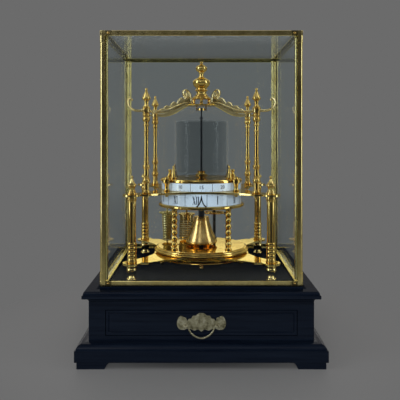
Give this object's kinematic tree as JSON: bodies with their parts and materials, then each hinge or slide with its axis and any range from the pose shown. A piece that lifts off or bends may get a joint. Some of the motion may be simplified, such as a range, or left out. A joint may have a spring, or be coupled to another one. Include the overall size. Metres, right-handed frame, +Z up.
{
  "type": "table clock",
  "caption": "Skeleton table clock with revolving hour and minute bands, a fixed pointer, fusee drive and a gimballed pendulum, in a glazed brass cover on an ebonised drawer base",
  "frame": {"origin": "centre of the base on the surface that it stands on", "axes": "+Z up, -Y to the front with the drawer, +X to the viewer's right"},
  "size_m": [0.392, 0.392, 0.529],
  "materials": {
    "polished_brass": "polished and lacquered",
    "aged_brass": "cast, dulled",
    "ebonised_wood": "black French polish",
    "drawer_wood": "plain, oiled",
    "white_enamel": "glossy enamel with dark numerals",
    "black_steel": "blued and blackened",
    "clear_glass": "clear",
    "gut_line": "twisted gut"
  },
  "bodies": {
    "clock_base": {"plinth": "ebonised_wood", "base_case": "ebonised_wood", "top_board": "ebonised_wood", "lower_plate": "polished_brass", "mid_plate": "polished_brass", "lower_column_front_left": "polished_brass", "lower_column_front_right": "polished_brass", "lower_column_rear_left": "polished_brass", "lower_column_rear_right": "polished_brass", "upper_column_front_left": "polished_brass", "upper_column_front_right": "polished_brass", "upper_column_rear_left": "polished_brass", "upper_column_rear_right": "polished_brass", "crown": "polished_brass", "crown_finial": "polished_brass", "scroll_arm_front_left": "polished_brass", "scroll_arm_front_right": "polished_brass", "scroll_arm_rear_left": "polished_brass", "scroll_arm_rear_right": "polished_brass", "drum_floor": "polished_brass", "drum_top": "polished_brass", "drum_post_front_left": "polished_brass", "drum_post_front_right": "polished_brass", "drum_post_rear_left": "polished_brass", "drum_post_rear_right": "polished_brass", "round_base": "polished_brass", "pendant_ring": "polished_brass", "pillar_front_left": "polished_brass", "pillar_front_right": "polished_brass", "pillar_rear": "polished_brass", "pointer": "black_steel", "glass_chimney": "clear_glass", "fusee_line": "gut_line"},
    "cover": {"cover_bottom_frame": "polished_brass", "cover_top_frame": "polished_brass", "cover_post_front_left": "polished_brass", "cover_post_front_right": "polished_brass", "cover_post_rear_left": "polished_brass", "cover_post_rear_right": "polished_brass", "pane_front": "clear_glass", "pane_rear": "clear_glass", "pane_left": "clear_glass", "pane_right": "clear_glass", "pane_top": "clear_glass"},
    "drawer": {"drawer_tray": "drawer_wood", "drawer_front": "ebonised_wood", "pull_plate": "aged_brass"},
    "bail": {"bail": "aged_brass"},
    "minute_band": {"minute_band": "white_enamel"},
    "hour_band": {"hour_band": "white_enamel"},
    "band_arbor": {"band_arbor": "black_steel"},
    "third_arbor": {"third_arbor": "black_steel"},
    "barrel": {"barrel": "polished_brass"},
    "fusee": {"fusee": "polished_brass"},
    "first_arbor": {"first_arbor": "black_steel"},
    "gimbal": {"gimbal_ring": "polished_brass"},
    "pendulum": {"pendulum_rod": "black_steel", "pendulum_bob": "polished_brass"}
  },
  "joints": [
    {"name": "cover_lift", "type": "slide", "parent": "clock_base", "child": "cover", "axis": [0, 0, 1], "range_m": [0, 0.42]},
    {"name": "drawer_slide", "type": "slide", "parent": "clock_base", "child": "drawer", "axis": [0, -1, 0], "range_m": [0, 0.2]},
    {"name": "bail_hinge", "type": "hinge", "parent": "drawer", "child": "bail", "pos_m": [0, -0.183, 0.0629], "axis": [-1, 0, 0], "range_deg": [0, 110]},
    {"name": "minute_band_spin", "type": "hinge", "parent": "clock_base", "child": "minute_band", "pos_m": [0, 0, 0.27], "axis": [0, 0, -1], "continuous": true},
    {"name": "hour_band_spin", "type": "hinge", "parent": "clock_base", "child": "hour_band", "pos_m": [0, 0, 0.247], "axis": [0, 0, -1], "continuous": true},
    {"name": "band_arbor_spin", "type": "hinge", "parent": "clock_base", "child": "band_arbor", "pos_m": [0.02526, 0.0522, 0.215], "axis": [0, 0, -1], "continuous": true},
    {"name": "third_arbor_spin", "type": "hinge", "parent": "clock_base", "child": "third_arbor", "pos_m": [0.04894, 0.04356, 0.195], "axis": [0, 0, -1], "continuous": true},
    {"name": "barrel_spin", "type": "hinge", "parent": "clock_base", "child": "barrel", "pos_m": [-0.029, 0.046, 0.19], "axis": [0, 0, -1], "continuous": true},
    {"name": "fusee_spin", "type": "hinge", "parent": "clock_base", "child": "fusee", "pos_m": [-0.066, 0.029, 0.19], "axis": [0, 0, -1], "continuous": true},
    {"name": "first_arbor_spin", "type": "hinge", "parent": "clock_base", "child": "first_arbor", "pos_m": [-0.0527, 0.04243, 0.195], "axis": [0, 0, -1], "continuous": true},
    {"name": "gimbal_tilt", "type": "hinge", "parent": "clock_base", "child": "gimbal", "pos_m": [0, 0, 0.4107], "axis": [1, 0, 0], "range_deg": [-1, 1]},
    {"name": "pendulum_swing", "type": "hinge", "parent": "gimbal", "child": "pendulum", "pos_m": [0, 0, 0.4107], "axis": [0, 1, 0], "range_deg": [-1, 1]}
  ],
  "couplings": [
    {"joint": "hour_band_spin", "follows": "minute_band_spin", "ratio": 0.083333},
    {"joint": "band_arbor_spin", "follows": "minute_band_spin", "ratio": 6},
    {"joint": "third_arbor_spin", "follows": "minute_band_spin", "ratio": -36},
    {"joint": "fusee_spin", "follows": "minute_band_spin", "ratio": 0.25},
    {"joint": "first_arbor_spin", "follows": "minute_band_spin", "ratio": -0.875},
    {"joint": "barrel_spin", "follows": "minute_band_spin", "ratio": 0.15}
  ]
}
